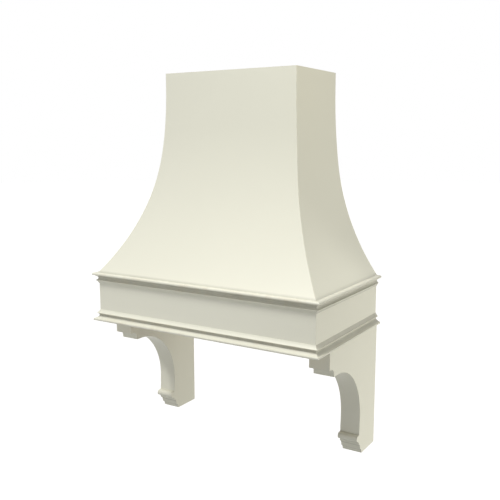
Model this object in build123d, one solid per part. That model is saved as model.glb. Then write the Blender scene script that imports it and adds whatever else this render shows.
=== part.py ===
from build123d import *
import os
from math import atan2, cos, degrees, radians, sin, sqrt

# A painted wooden range hood cover that hangs on a wall, in millimetres. The wall is the plane Y = 0, the
# front faces -Y and +Z is up. The origin lies on the wall, on the centre line, at the middle of the
# straight band, which is also the middle of the lower wall screws.

# Stock
board = 19.0            # planed boards
ply = 18.0              # the ribs' plywood
panel = 12.0            # curved panels, two layers of bending plywood

# Band: the straight box at the foot of the hood, measured over its frieze boards
band_width = 914.4
band_depth = 502.8
frieze_show = 101.6     # frieze between the two mouldings, 4 inches
moulding_height = 42.0
band_top = frieze_show / 2 + moulding_height
band_bottom = -band_top
rail_width = 70.0       # flat rails round the top and the foot of the band
block_leg = 35.0        # triangular glue blocks in the band's corners

# Neck: the plumb chimney above the flare
neck_width = 552.0
neck_depth = 306.8
neck_top = 832.2
flare_start = 780.0
top_rail_width = 45.0
rib_depth = 45.0
front_rib_pitch = 140.0
side_rib_back = 150.0   # from the wall to the middle of the side ribs

# Wall screws, at 16 inch studs
stud_spacing = 406.4
lower_screw_rise = 76.2
wall_screw_radius = 3.0
upper_rail_height = 89.0

# Holes that take the flange of a fan insert
insert_hole_spacing = 600.0
insert_hole_radius = 2.5

# Brackets
bracket_width = 76.2     # 3 inches
bracket_side = 463.5    # centre line to a bracket's outer side
bracket_depth = 410.0
bracket_height = 466.7
shaft_depth = 142.4
arch_width = 204.6      # from the shaft to the flat under the tip
arch_drop = 217.5       # from that flat down to where the arch meets the shaft

# Bracket studs and their washers and nuts, 8 mm
stud_radius = 4.0
stud_x = 414.0
stud_depths = (110.0, 350.0)
stud_in_bracket = 45.0
washer_radius = 12.0
washer_thickness = 2.0
nut_across_flats = 13.0
nut_height = 6.5

# Keyhole plates let into the brackets' backs
plate_width = 20.0
plate_height = 56.0
plate_thickness = 2.0
plate_drop = 380.0      # below the bracket's top
keyhole_radius = 4.75
keyhole_slot = 2.6      # half width of the slot
keyhole_travel = 12.0
pocket_depth = 12.0

half_band = band_width / 2
half_neck = neck_width / 2

side_view = Plane((0, 0, 0), x_dir=(0, -1, 0), z_dir=(-1, 0, 0))    # depth from the wall, height
front_view = Plane.XZ                                               # across, height


class Flare:
    """One face of the hood seen on edge: a plumb neck, an easing arc and the sweep out to its foot."""

    def __init__(self, neck, foot, easing_radius, easing_degrees):
        self.neck = neck
        self.easing_radius = easing_radius
        self.easing = radians(easing_degrees)
        self.easing_foot = flare_start - easing_radius * sin(self.easing)
        run_out = foot - neck - easing_radius * (1 - cos(self.easing))
        drop = self.easing_foot - band_top
        self.foot_angle = 2 * atan2(run_out, drop) - self.easing
        self.sweep_radius = drop / (sin(self.foot_angle) - sin(self.easing))

    def reach(self, height):
        """How far the face stands out at a height."""
        fall = flare_start - height
        if fall <= 0:
            return self.neck
        if height >= self.easing_foot:
            return self.neck + self.easing_radius - sqrt(self.easing_radius**2 - fall**2)
        centre_out = self.neck + self.easing_radius
        centre_out += (self.sweep_radius - self.easing_radius) * cos(self.easing)
        centre_fall = (self.easing_radius - self.sweep_radius) * sin(self.easing)
        return centre_out - sqrt(self.sweep_radius**2 - (fall - centre_fall) ** 2)

    def line(self, inset):
        """The face's outline, or a line set in from it all the way down."""
        plumb = Line((self.neck - inset, neck_top), (self.neck - inset, flare_start))
        ease = JernArc(plumb @ 1, plumb % 1, self.easing_radius + inset, degrees(self.easing))
        sweep_angle = degrees(self.foot_angle - self.easing)
        sweep = JernArc(ease @ 1, ease % 1, self.sweep_radius + inset, sweep_angle)
        return [plumb, ease, sweep]

    def strip(self, outer_inset, inner_inset, bottom, top):
        """The flat strip between two insets of the face, cut level at both ends."""
        outer = self.line(outer_inset)
        inner = self.line(inner_inset)
        ends = [Line(outer[0] @ 0, inner[0] @ 0), Line(outer[-1] @ 1, inner[-1] @ 1)]
        strip = make_face(outer + inner + ends)
        window = Pos(self.neck, (bottom + top) / 2) * Rectangle(2 * band_width, top - bottom)
        return strip & window

    def inside(self, inset):
        """Everything on the hood's side of an inset of the face, above the band."""
        outer = self.line(inset)
        axis_top = (0, neck_top)
        axis_foot = (0, (outer[-1] @ 1).Y)
        back = Polyline(outer[0] @ 0, axis_top, axis_foot, outer[-1] @ 1)
        window = Pos(0, (band_top + neck_top) / 2) * Rectangle(2 * band_width, neck_top - band_top)
        return make_face(outer + [back]) & window


side_flare = Flare(half_neck, half_band + 1.7, easing_radius=2250, easing_degrees=7)
front_flare = Flare(neck_depth, band_depth + 5, easing_radius=2500, easing_degrees=3.5)


def block(across, depth, height):
    """Square-edged piece between limits across the hood, out from the wall and in height."""
    size = (across[1] - across[0], depth[1] - depth[0], height[1] - height[0])
    centre = (sum(across) / 2, -sum(depth) / 2, sum(height) / 2)
    return Pos(*centre) * Box(*size)


def other_side(piece):
    return mirror(piece, about=Plane.YZ)


def rod(start, radius, length):
    """Round rod or drill that rises from a point."""
    return Pos(*start) * Cylinder(radius, length, align=(Align.CENTER, Align.CENTER, Align.MIN))


def wall_studs():
    """The two studs in the wall that the screws go into."""
    return (-stud_spacing / 2, stud_spacing / 2)


def wall_drill(across, height, radius, length):
    """Drill square to the wall, from the wall outwards."""
    return Pos(across, 0, height) * Rot(X=90) * Cylinder(
        radius, length, align=(Align.CENTER, Align.CENTER, Align.MIN)
    )


def cut_by(piece, tools):
    for tool in tools:
        piece -= tool
    return piece


# Curved panels

def beyond_mitre():
    """Everything outside the right hip's mitre: a curved wall that follows the hip, square to the corner."""
    mitre_view = Plane((0, 0, 0), x_dir=(1, 1, 0), z_dir=(1, -1, 0))
    steps = 12
    heights = [flare_start - (flare_start - band_top) * step / steps for step in range(steps + 1)]
    hip = [((side_flare.reach(z) - front_flare.reach(z)) / sqrt(2), z) for z in heights]
    plumb = Line((hip[0][0], neck_top + board), hip[0])
    curve = Spline(*hip, tangents=[(0, -1), (hip[-1][0] - hip[-2][0], hip[-1][1] - hip[-2][1])])
    outside = Polyline(
        hip[-1], (hip[-1][0], band_bottom), (band_width, band_bottom), (band_width, neck_top + board),
        plumb @ 0,
    )
    return extrude(mitre_view * make_face([plumb, curve, outside]), band_width, both=True)


def front_panel(mitre):
    strip = front_flare.strip(0, panel, band_top, neck_top)
    slab = extrude(side_view * strip, half_band + board, both=True)
    return slab - mitre - other_side(mitre)


def side_panel(mitre):
    strip = side_flare.strip(0, panel, band_top, neck_top)
    slab = extrude(front_view * strip, band_width)
    return slab & mitre


# Frame of the flare and the neck

def rail_underside():
    return neck_top - board


def front_rib(across):
    strip = front_flare.strip(panel, panel + rib_depth, band_top, rail_underside())
    return Pos(across, 0, 0) * extrude(side_view * strip, ply / 2, both=True)


def side_rib():
    strip = side_flare.strip(panel, panel + rib_depth, band_top, rail_underside())
    return Pos(0, -side_rib_back, 0) * extrude(front_view * strip, ply / 2, both=True)


def back_stile():
    strip = side_flare.strip(panel, panel + rib_depth, band_top, rail_underside())
    return extrude(front_view * strip, ply)


def hood_inside(inset):
    across = extrude(front_view * side_flare.inside(inset), band_width)
    out = extrude(side_view * front_flare.inside(inset), band_width)
    return across & Pos(band_width / 2, 0, 0) * out


def hip_rib():
    """Upright rib in the plane of the right hip, with a bevelled edge that backs both panels."""
    run = side_flare.reach(band_top) - half_neck
    rise = front_flare.reach(band_top) - neck_depth
    slab_height = rail_underside() - band_top
    slab = Pos(half_neck, -neck_depth, band_top + slab_height / 2) * Rot(Z=-degrees(atan2(rise, run))) * Box(
        2 * band_width, ply, slab_height
    )
    return slab & hood_inside(panel) - hood_inside(panel + rib_depth)


def top_rail_front():
    face = neck_depth - panel
    reach = half_neck - panel
    return block((-reach, reach), (face - top_rail_width, face), (rail_underside(), neck_top))


def top_rail_side():
    face = half_neck - panel
    back = neck_depth - panel - top_rail_width
    return block((face - top_rail_width, face), (0, back), (rail_underside(), neck_top))


def upper_wall_rail():
    reach = half_neck - panel - top_rail_width
    rail = block((-reach, reach), (0, board), (neck_top - upper_rail_height, neck_top))
    middle = neck_top - upper_rail_height / 2
    drills = [wall_drill(x, middle, wall_screw_radius, board) for x in wall_studs()]
    return cut_by(rail, drills)


# Band

def flat_rails(bottom):
    """Four flat rails that frame the band at one height: front, back and the right side."""
    half = half_band - board
    depth = band_depth - board
    levels = (bottom, bottom + board)
    front = block((-half, half), (depth - rail_width, depth), levels)
    back = block((rail_width - half, half - rail_width), (0, rail_width), levels)
    side = block((half - rail_width, half), (0, depth - rail_width), levels)
    return front, back, side


def lower_wall_rail():
    half = half_band - board
    rail = block((-half, half), (0, board), (band_bottom + board, band_top - board))
    drills = [
        wall_drill(x, z, wall_screw_radius, board)
        for x in wall_studs()
        for z in (-lower_screw_rise / 2, lower_screw_rise / 2)
    ]
    return cut_by(rail, drills)


def corner_blocks():
    """Triangular glue blocks, two in the front corners and two against the wall rail."""
    side = half_band - board
    height = band_top - band_bottom - 2 * board
    blocks = []
    for depth, turn in ((band_depth - board, -1), (board, 1)):
        plan = Polyline(
            (side, -depth), (side - block_leg, -depth), (side, -depth - turn * block_leg), close=True
        )
        right = extrude(Pos(0, 0, -height / 2) * make_face(plan), height)
        blocks += [right, other_side(right)]
    return Compound(children=blocks)


def front_run(section):
    """A board or moulding along the front, from its section, mitred at both corners."""
    run = extrude(side_view * Pos(band_depth, 0) * section, band_width, both=True)
    out = rail_width
    plan = Polyline(
        (half_band + out, -band_depth - out), (half_band - out, -band_depth + out),
        (out - half_band, -band_depth + out), (-half_band - out, -band_depth - out), close=True,
    )
    return run & Pos(0, 0, band_bottom) * extrude(make_face(plan), band_top - band_bottom)


def side_run(section):
    """The same along the right side, mitred at the front and square at the wall."""
    run = extrude(front_view * Pos(half_band, 0) * section, band_width)
    out = rail_width
    plan = Polyline(
        (half_band - out, 0), (half_band + out, 0), (half_band + out, -band_depth - out),
        (half_band - out, -band_depth + out), close=True,
    )
    return run & Pos(0, 0, band_bottom) * extrude(make_face(plan), band_top - band_bottom)


def frieze_section():
    return Pos(-board / 2, 0) * Rectangle(board, band_top - band_bottom)


def moulding_section():
    """Upper moulding, out from the frieze and up: a round nose, a cove, a thin lip and a small cavetto."""
    nose_radius = 5.7
    nose_centre = 13.6
    nose_foot = (18.4, -8.7)        # heights are from the moulding's top
    groove = (2.5, -18.6)
    lip = (9.4, -28.6)
    lip_foot = -30.4
    base = (0.6, -moulding_height)
    back = Polyline(base, (0, -moulding_height), (0, 0), (nose_centre, 0))
    nose = ThreePointArc(back @ 1, (nose_centre + nose_radius, -nose_radius), nose_foot)
    cove = ThreePointArc(nose_foot, (7.1, -14.2), groove)
    scoop = ThreePointArc(groove, (4.2, -25.0), lip)
    edge = Polyline(lip, (lip[0], lip_foot), (lip[0] - 1.2, lip_foot))
    cavetto = ThreePointArc(edge @ 1, (3.5, -36.4), base)
    return Pos(0, band_top) * make_face([back, nose, cove, scoop, edge, cavetto])


# Brackets

def arch_arcs(start):
    """The arch, from the flat under the tip down to the shaft: two eighth turns, the upper one tighter."""
    middle_radius = (arch_width + arch_drop) / 2
    spread = (arch_drop - arch_width) / (2 * (sqrt(2) - 1))
    upper = JernArc(start, (-1, 0), middle_radius - spread, 45)
    lower = JernArc(upper @ 1, upper % 1, middle_radius + spread, 45)
    return upper, lower


def bracket_outline():
    """Side of a bracket: depth from the wall, and height measured down from its top."""
    nose_drop = 68.2
    cove_top = (393.0, -nose_drop)
    cove_foot = (375.0, -94.7)
    tip = 98.2
    nose = Polyline((0, 0), (bracket_depth, 0), (bracket_depth, -nose_drop), cove_top)
    cove = ThreePointArc(cove_top, (380.3, -76.4), cove_foot)
    soffit = Polyline(cove_foot, (cove_foot[0], -tip), (shaft_depth + arch_width, -tip))
    upper_arch, lower_arch = arch_arcs(soffit @ 1)
    shaft = Polyline(lower_arch @ 1, (145.0, -386.7), (154.5, -387.9))
    bead = ThreePointArc(shaft @ 1, (167.0, -399.2), (157.0, -410.4))
    fillet = Polyline(bead @ 1, (147.0, -416.8), (145.8, -425.3))
    upper_cove = ThreePointArc(fillet @ 1, (138.0, -429.0), (134.3, -437.0))
    waist = Line(upper_cove @ 1, (131.0, -448.5))
    lower_cove = ThreePointArc(waist @ 1, (124.2, -451.0), (121.3, -457.0))
    foot = Polyline(lower_cove @ 1, (118.3, -bracket_height), (0, -bracket_height), (0, 0))
    arch = [upper_arch, lower_arch]
    return make_face([nose, cove, soffit, *arch, shaft, bead, fillet, upper_cove, waist, lower_cove, foot])


def bracket():
    """Right bracket, with its stud holes and the seat and pocket of its keyhole plate."""
    side = extrude(side_view * bracket_outline(), -bracket_width)
    solid = Pos(bracket_side - bracket_width, 0, band_bottom) * side
    drills = [
        rod((stud_x, -depth, band_bottom - stud_in_bracket), stud_radius, stud_in_bracket)
        for depth in stud_depths
    ]
    seat = Box(plate_width, 2 * plate_thickness, plate_height)
    pocket = Pos(0, 0, keyhole_travel / 2) * Box(
        3 * keyhole_radius, 2 * (plate_thickness + pocket_depth), keyhole_travel + 3 * keyhole_radius
    )
    return cut_by(solid, drills + [plate_place() * seat, plate_place() * pocket])


def plate_place():
    return Pos(bracket_side - bracket_width / 2, 0, band_bottom - plate_drop)


def keyhole_plate():
    """Steel plate flush with the bracket's back, with a keyhole that drops over a wall screw's head."""
    plate = Pos(0, -plate_thickness / 2, 0) * Box(plate_width, plate_thickness, plate_height)
    entry = Rot(X=90) * Cylinder(keyhole_radius, 4 * plate_thickness)
    slot_end = Pos(0, 0, keyhole_travel) * Rot(X=90) * Cylinder(keyhole_slot, 4 * plate_thickness)
    slot = Pos(0, 0, keyhole_travel / 2) * Box(2 * keyhole_slot, 4 * plate_thickness, keyhole_travel)
    return plate_place() * cut_by(plate, [entry, slot_end, slot])


def stud_places():
    return [(x, -depth) for x in (stud_x, -stud_x) for depth in stud_depths]


def bracket_studs():
    length = stud_in_bracket + board + washer_thickness + nut_height + 3
    foot = band_bottom - stud_in_bracket
    return Compound(children=[rod((x, y, foot), stud_radius, length) for x, y in stud_places()])


def bracket_washers():
    ring = Circle(washer_radius) - Circle(stud_radius + 0.25)
    washer = extrude(ring, washer_thickness)
    return Compound(children=[Pos(x, y, band_bottom + board) * washer for x, y in stud_places()])


def bracket_nuts():
    section = RegularPolygon(nut_across_flats / 2, 6, major_radius=False) - Circle(stud_radius)
    nut = extrude(section, nut_height)
    level = band_bottom + board + washer_thickness
    return Compound(children=[Pos(x, y, level) * nut for x, y in stud_places()])


def build():
    pieces = {}

    def pair(name, right):
        pieces["right_" + name] = right
        pieces["left_" + name] = other_side(right)

    mitre = beyond_mitre()
    pieces["front_panel"] = front_panel(mitre)
    pair("side_panel", side_panel(mitre))

    pieces["front_rib_left"] = front_rib(-front_rib_pitch)
    pieces["front_rib_centre"] = front_rib(0)
    pieces["front_rib_right"] = front_rib(front_rib_pitch)
    pair("side_rib", side_rib())
    pair("hip_rib", hip_rib())
    pair("back_stile", back_stile())
    pieces["top_rail_front"] = top_rail_front()
    pair("top_rail", top_rail_side())
    pieces["upper_wall_rail"] = upper_wall_rail()

    front, back, side = flat_rails(band_top - board)
    pieces["sill_rail_front"] = front
    pieces["sill_rail_back"] = back
    pair("sill_rail", side)

    front, back, side = flat_rails(band_bottom)
    middle = rail_width / 2
    holes = [
        rod((x, y, band_bottom), insert_hole_radius, board)
        for x in (-insert_hole_spacing / 2, insert_hole_spacing / 2)
        for y in (-middle, middle + board - band_depth)
    ]
    clearance = [rod((x, y, band_bottom), stud_radius + 0.5, board) for x, y in stud_places()]
    pieces["bottom_rail_front"] = cut_by(front, holes)
    pieces["bottom_rail_back"] = cut_by(back, holes)
    pair("bottom_rail", cut_by(side, clearance))

    pieces["lower_wall_rail"] = lower_wall_rail()
    pieces["corner_blocks"] = corner_blocks()
    pieces["frieze_front"] = front_run(frieze_section())
    pair("frieze", side_run(frieze_section()))
    upper = moulding_section()
    lower = mirror(upper, about=Plane.XZ)
    for level, section in (("upper", upper), ("lower", lower)):
        pieces[level + "_moulding_front"] = front_run(section)
        pair(level + "_moulding", side_run(section))

    pair("bracket", bracket())
    plate = keyhole_plate()
    pieces["keyhole_plates"] = Compound(children=[plate, other_side(plate)])
    pieces["bracket_studs"] = bracket_studs()
    pieces["bracket_washers"] = bracket_washers()
    pieces["bracket_nuts"] = bracket_nuts()
    return pieces


os.makedirs("parts", exist_ok=True)
for name, piece in build().items():
    export_step(piece, "parts/" + name + ".step")
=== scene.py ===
import math

import bmesh
import bpy
from mathutils import Matrix, Vector


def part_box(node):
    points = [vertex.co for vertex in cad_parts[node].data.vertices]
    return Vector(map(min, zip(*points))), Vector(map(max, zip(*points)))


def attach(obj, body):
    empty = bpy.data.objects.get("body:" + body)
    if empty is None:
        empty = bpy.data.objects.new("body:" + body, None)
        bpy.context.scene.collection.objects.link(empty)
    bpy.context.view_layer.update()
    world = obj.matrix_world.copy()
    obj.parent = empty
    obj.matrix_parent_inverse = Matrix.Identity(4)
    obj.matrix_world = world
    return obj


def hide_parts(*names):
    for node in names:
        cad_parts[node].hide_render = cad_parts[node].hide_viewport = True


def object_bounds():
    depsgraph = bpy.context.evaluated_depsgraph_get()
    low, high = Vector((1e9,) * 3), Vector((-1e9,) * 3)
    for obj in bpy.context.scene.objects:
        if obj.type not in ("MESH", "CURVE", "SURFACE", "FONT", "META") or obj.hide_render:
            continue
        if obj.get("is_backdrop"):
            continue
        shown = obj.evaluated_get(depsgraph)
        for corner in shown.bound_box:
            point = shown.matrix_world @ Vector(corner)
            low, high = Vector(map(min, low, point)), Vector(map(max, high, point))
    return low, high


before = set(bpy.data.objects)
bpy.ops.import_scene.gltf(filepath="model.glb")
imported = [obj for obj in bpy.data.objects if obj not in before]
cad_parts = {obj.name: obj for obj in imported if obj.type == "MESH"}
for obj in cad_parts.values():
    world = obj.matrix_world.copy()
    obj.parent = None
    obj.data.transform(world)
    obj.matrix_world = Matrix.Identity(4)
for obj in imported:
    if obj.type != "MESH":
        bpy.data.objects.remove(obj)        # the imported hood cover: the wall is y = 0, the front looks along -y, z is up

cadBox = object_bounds()
mm = 0.001
print("frame loaded:", len(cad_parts), "nodes")


# Finishes. The shared effects are node groups, and each material places them with its own values

def feed(tree, socket, value):
    # value is another node's output, or a plain number, vector or colour
    if isinstance(value, bpy.types.NodeSocket):
        tree.links.new(value, socket)
    else:
        socket.default_value = value


def maths(tree, operation, first, second=0.0):
    node = tree.nodes.new("ShaderNodeMath")
    node.operation = operation
    feed(tree, node.inputs[0], first)
    feed(tree, node.inputs[1], second)
    return node.outputs[0]


def noiseAt(tree, vector, scale, detail=2.0):
    node = tree.nodes.new("ShaderNodeTexNoise")
    feed(tree, node.inputs["Vector"], vector)
    feed(tree, node.inputs["Scale"], scale)
    node.inputs["Detail"].default_value = detail
    return node.outputs["Fac"]


def spread(tree, value, low, high, toLow=0.0, toHigh=1.0):
    # moves a value from one range to another and holds it inside
    node = tree.nodes.new("ShaderNodeMapRange")
    limits = {"Value": value, "From Min": low, "From Max": high, "To Min": toLow, "To Max": toHigh}
    for label, number in limits.items():
        feed(tree, node.inputs[label], number)
    return node.outputs["Result"]


def swing(tree, noise, low, high):
    # spreads a noise, which keeps to the middle of its range, from low to high
    return spread(tree, noise, 0.3, 0.7, low, high)


def mapped(tree, vector, scale=(1, 1, 1), turn=(0, 0, 0), shift=(0, 0, 0)):
    node = tree.nodes.new("ShaderNodeMapping")
    feed(tree, node.inputs["Vector"], vector)
    node.inputs["Scale"].default_value = scale
    node.inputs["Rotation"].default_value = [math.radians(angle) for angle in turn]
    node.inputs["Location"].default_value = shift
    return node.outputs["Vector"]


def blend(tree, factor, first, second, mode="MIX"):
    node = tree.nodes.new("ShaderNodeMix")
    node.data_type = "RGBA"
    node.blend_type = mode
    feed(tree, node.inputs["Factor"], factor)
    feed(tree, node.inputs["A"], first)
    feed(tree, node.inputs["B"], second)
    return node.outputs["Result"]


def newGroup(name, inputs, outputs):
    group = bpy.data.node_groups.new(name, "ShaderNodeTree")
    for label, kind in inputs:
        group.interface.new_socket(name=label, in_out="INPUT", socket_type="NodeSocket" + kind)
    for label, kind in outputs:
        group.interface.new_socket(name=label, in_out="OUTPUT", socket_type="NodeSocket" + kind)
    given = group.nodes.new("NodeGroupInput").outputs
    result = group.nodes.new("NodeGroupOutput").inputs
    return group, given, result


def place(tree, group, values):
    node = tree.nodes.new("ShaderNodeGroup")
    node.node_tree = group
    for label, value in values.items():
        feed(tree, node.inputs[label], value)
    return node.outputs


def newMaterial(name):
    # the material's nodes, its shader's inputs and the piece's own coordinates
    material = bpy.data.materials.new(name)
    material.use_nodes = True
    tree = material.node_tree
    coordinates = tree.nodes.new("ShaderNodeTexCoord").outputs["Object"]
    return material, tree, tree.nodes["Principled BSDF"].inputs, coordinates


def pieceMask(tree, label):
    # a mask that the piece's own mesh carries
    node = tree.nodes.new("ShaderNodeAttribute")
    node.attribute_name = label
    return node.outputs["Fac"]


def bumpFrom(tree, height, depth):
    node = tree.nodes.new("ShaderNodeBump")
    node.inputs["Distance"].default_value = depth
    feed(tree, node.inputs["Height"], height)
    return node.outputs["Normal"]


def makeMottle():
    # slow drift in tone from one part of a surface to the next, about 1 in the middle
    inputs = [("Vector", "Vector"), ("Size", "Float"), ("Amount", "Float")]
    group, given, result = newGroup("mottle", inputs, [("Tone", "Float")])
    drift = noiseAt(group, given["Vector"], maths(group, "DIVIDE", 1.0, given["Size"]), detail=3.0)
    centred = maths(group, "SUBTRACT", drift, 0.5)
    drifted = maths(group, "MULTIPLY", centred, given["Amount"])
    feed(group, result["Tone"], maths(group, "ADD", drifted, 1.0))
    return group


filmLook = {
    "peelScale": 420.0,             # noise scales: the higher, the finer
    "sandingScale": 700.0,
    "sandingTone": (0.994, 1.003),
    "sandingHeight": 0.25,          # beside the orange peel's own height of 1
    "peelRange": (0.25, 0.75),
    "peelShine": 0.035,             # how far each of them moves the roughness up and down
    "sandingShine": 0.015,
}


def makePaintFilm():
    # sprayed satin paint: a fine orange peel over faint marks along the board where it was sanded
    look = filmLook
    inputs = [("Vector", "Vector"), ("Along", "Vector"), ("Colour", "Color"), ("Roughness", "Float")]
    outputs = [("Colour", "Color"), ("Roughness", "Float"), ("Height", "Float")]
    group, given, result = newGroup("paintFilm", inputs, outputs)
    peel = noiseAt(group, given["Vector"], look["peelScale"])
    sanding = noiseAt(group, given["Along"], look["sandingScale"], detail=3.0)
    tone = swing(group, sanding, *look["sandingTone"])
    feed(group, result["Colour"], blend(group, 1.0, given["Colour"], tone, "MULTIPLY"))
    dulled = spread(group, peel, *look["peelRange"], -look["peelShine"], look["peelShine"])
    streaked = swing(group, sanding, -look["sandingShine"], look["sandingShine"])
    roughness = maths(group, "ADD", given["Roughness"], maths(group, "ADD", dulled, streaked))
    feed(group, result["Roughness"], roughness)
    marks = maths(group, "MULTIPLY", sanding, look["sandingHeight"])
    feed(group, result["Height"], maths(group, "ADD", peel, marks))
    return group


rubbedLook = {"scale": 26.0, "range": (0.46, 0.66)}      # wear sets in between these values of the noise


def makeRubbedEdge():
    # broken stretches along the arrises, where handling has thinned the finish
    inputs = [("Vector", "Vector"), ("Arris", "Float"), ("Amount", "Float")]
    group, given, result = newGroup("rubbedEdge", inputs, [("Mask", "Float")])
    broken = noiseAt(group, given["Vector"], rubbedLook["scale"], detail=5.0)
    stretches = spread(group, broken, *rubbedLook["range"])
    mask = maths(group, "MULTIPLY", maths(group, "MULTIPLY", stretches, given["Arris"]), given["Amount"])
    feed(group, result["Mask"], mask)
    return group


# painted shade: noise scale of its patches, and the thinnest it gets
paintedShadeLook = {"scale": 14.0, "thinnest": 0.75}


def makePaintedShade():
    # painted shade: a thin uneven darkening laid into hollows, along seams and under steps, where shade
    # falls
    inputs = [("Vector", "Vector"), ("Shade Share", "Float"), ("Amount", "Float")]
    group, given, result = newGroup("paintedShade", inputs, [("Mask", "Float")])
    patches = noiseAt(group, given["Vector"], paintedShadeLook["scale"], detail=3.0)
    uneven = swing(group, patches, paintedShadeLook["thinnest"], 1.0)
    mask = maths(group, "MULTIPLY", maths(group, "MULTIPLY", uneven, given["Shade Share"]), given["Amount"])
    feed(group, result["Mask"], mask)
    return group


figureLook = {
    "ringTaper": 0.04,              # the rings' cone, the fibres and the waver are drawn out along the board
    "waverScale": 9.0,
    "waverSqueeze": 0.16,
    "fibreScale": 900.0,
    "fibreSqueeze": 0.02,
    "lateWood": (0.35, 0.93),       # where in a ring its dark part begins, and where it is darkest
    "lateSharpness": 1.7,
    "ringHeight": 0.35,             # beside the fibres' own height of 1
    "fibreTone": (0.90, 1.06),
    "fibreShine": 0.06,             # how far the fibres move the roughness up and down
}


def makeWoodFigure():
    # growth rings round a heart that runs along z, and the fibres between them
    look = figureLook
    inputs = [("Vector", "Vector"), ("Ring Width", "Float"), ("Waver", "Float")]
    outputs = [("Rings", "Float"), ("Fibre", "Float"), ("Height", "Float")]
    group, given, result = newGroup("woodFigure", inputs, outputs)
    taper = mapped(group, given["Vector"], (1, 1, look["ringTaper"]))
    length = group.nodes.new("ShaderNodeVectorMath")
    length.operation = "LENGTH"
    feed(group, length.inputs[0], taper)
    count = maths(group, "DIVIDE", length.outputs["Value"], given["Ring Width"])
    drawnOut = mapped(group, given["Vector"], (1, 1, look["waverSqueeze"]))
    waver = noiseAt(group, drawnOut, look["waverScale"], detail=3.0)
    count = maths(group, "ADD", count, maths(group, "MULTIPLY", waver, given["Waver"]))
    rings = spread(group, maths(group, "FRACT", count), *look["lateWood"])
    drawnOut = mapped(group, given["Vector"], (1, 1, look["fibreSqueeze"]))
    fibre = noiseAt(group, drawnOut, look["fibreScale"], detail=4.0)
    feed(group, result["Rings"], maths(group, "POWER", rings, look["lateSharpness"]))
    feed(group, result["Fibre"], fibre)
    raised = maths(group, "MULTIPLY", rings, look["ringHeight"])
    feed(group, result["Height"], maths(group, "SUBTRACT", fibre, raised))
    return group


mottle = makeMottle()
paintFilm = makePaintFilm()
rubbedEdge = makeRubbedEdge()
paintedShade = makePaintedShade()
woodFigure = makeWoodFigure()


def toneDrift(tree, vector, look):
    size, amount = look["drift"]
    return place(tree, mottle, {"Vector": vector, "Size": size, "Amount": amount})["Tone"]


paintLook = {
    "colour": (0.78, 0.775, 0.662, 1),
    "rubbed": (0.66, 0.60, 0.47, 1),        # undercoat that shows where an arris is rubbed
    "roughness": 0.43,
    "rubbedRoughness": 0.2,                 # added where it is rubbed
    "drift": (0.35, 0.035),                 # size in metres and amount of the slow change in tone
    "sandingSqueeze": 0.02,                 # draws the sanding marks out along the board
    # colour of the painted shade in hollows, along seams and under steps
    "shadeColour": (0.36, 0.35, 0.29, 1),
    "shade": 0.9,                            # how much of the paint the deepest painted shade and the worst wear take
    "wear": 0.55,
    "peelDepth": 0.03 * mm,
}


def satinPaint(name, way):
    # way is the axis that the board and its sanding marks run along
    look = paintLook
    material, tree, shader, coordinates = newMaterial(name)
    squeeze = [look["sandingSqueeze"] if axis == way else 1 for axis in "xyz"]
    film = place(tree, paintFilm, {
        "Vector": coordinates,
        "Along": mapped(tree, coordinates, squeeze),
        "Colour": blend(tree, 1.0, look["colour"], toneDrift(tree, coordinates, look), "MULTIPLY"),
        "Roughness": look["roughness"],
    })
    arris, shadeShare = (pieceMask(tree, label) for label in ("arris", "shadeShare"))
    worn = place(tree, rubbedEdge, {"Vector": coordinates, "Arris": arris, "Amount": look["wear"]})
    # painted shade: the mesh's mask darkens hollows, seams and undersides, where shade falls
    shade = place(tree, paintedShade, {"Vector": coordinates, "Shade Share": shadeShare, "Amount": look["shade"]})
    shaded = blend(tree, shade["Mask"], film["Colour"], look["shadeColour"])
    feed(tree, shader["Base Color"], blend(tree, worn["Mask"], shaded, look["rubbed"]))
    dulled = maths(tree, "MULTIPLY", worn["Mask"], look["rubbedRoughness"])
    feed(tree, shader["Roughness"], maths(tree, "ADD", film["Roughness"], dulled))
    feed(tree, shader["Normal"], bumpFrom(tree, film["Height"], look["peelDepth"]))
    return material


pineLook = {
    "early": (0.77, 0.59, 0.37, 1),
    "late": (0.58, 0.38, 0.19, 1),
    "ringWidth": 4.2 * mm,
    "waver": 1.6,
    "drift": (0.15, 0.22),
    "roughness": 0.62,
    "grainDepth": 0.12 * mm,
}

veneerLook = {
    "early": (0.70, 0.55, 0.38, 1),
    "late": (0.58, 0.43, 0.27, 1),
    "ringWidth": 9.0 * mm,
    "waver": 5.0,
    "drift": (0.15, 0.22),
    "roughness": 0.66,
    "grainDepth": 0.10 * mm,
}


def bareWood(tree, vector, look):
    # colour and figure of sawn wood whose grain runs along the vector's z
    values = {"Vector": vector, "Ring Width": look["ringWidth"], "Waver": look["waver"]}
    figure = place(tree, woodFigure, values)
    colour = blend(tree, figure["Rings"], look["early"], look["late"])
    fibres = swing(tree, figure["Fibre"], *figureLook["fibreTone"])
    tone = maths(tree, "MULTIPLY", fibres, toneDrift(tree, vector, look))
    return blend(tree, 1.0, colour, tone, "MULTIPLY"), figure


def sawnWood(name, look, turn, shift):
    # turn brings the board's length to z, shift moves the tree's heart away from the board
    material, tree, shader, coordinates = newMaterial(name)
    colour, figure = bareWood(tree, mapped(tree, coordinates, turn=turn, shift=shift), look)
    feed(tree, shader["Base Color"], colour)
    roughness, shine = look["roughness"], figureLook["fibreShine"]
    feed(tree, shader["Roughness"], swing(tree, figure["Fibre"], roughness + shine, roughness - shine))
    feed(tree, shader["Normal"], bumpFrom(tree, figure["Height"], look["grainDepth"]))
    return material


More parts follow.
